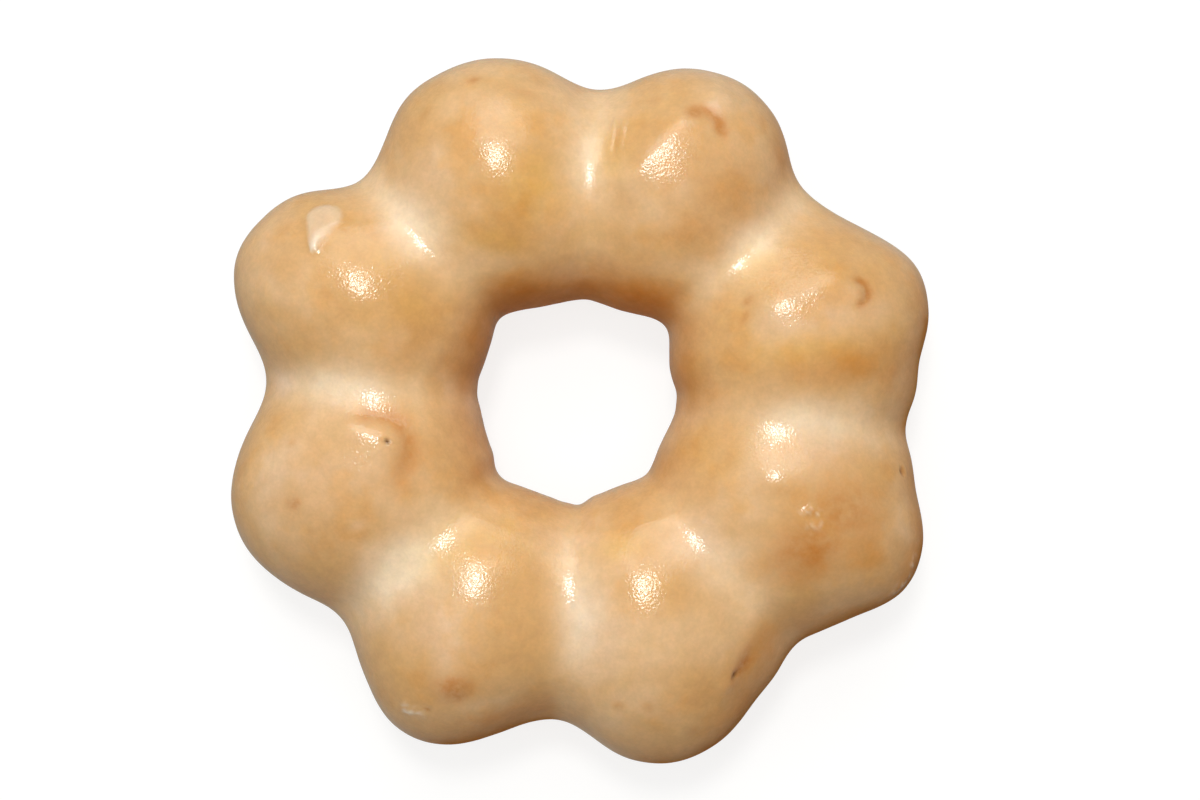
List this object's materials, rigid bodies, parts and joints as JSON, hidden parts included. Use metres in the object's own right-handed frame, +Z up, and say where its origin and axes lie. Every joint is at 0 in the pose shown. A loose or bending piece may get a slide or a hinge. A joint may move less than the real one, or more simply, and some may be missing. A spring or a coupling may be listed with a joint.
{
  "type": "ring doughnut",
  "caption": "Sugar-glazed ring doughnut made of soft dough balls joined side by side in a ring round an open centre hole, lying flat on its small feet.",
  "frame": {"origin": "centre of the bounding box's footprint, on the surface that the doughnut lies on", "axes": "+Z up out of the glazed top; X and Y across the ring, with one neck between two balls facing nearly along +Y"},
  "size_m": [0.0948, 0.0958, 0.0272],
  "materials": {
    "glazed_dough": null
  },
  "bodies": {
    "root": {"doughnut": "glazed_dough"}
  },
  "joints": []
}
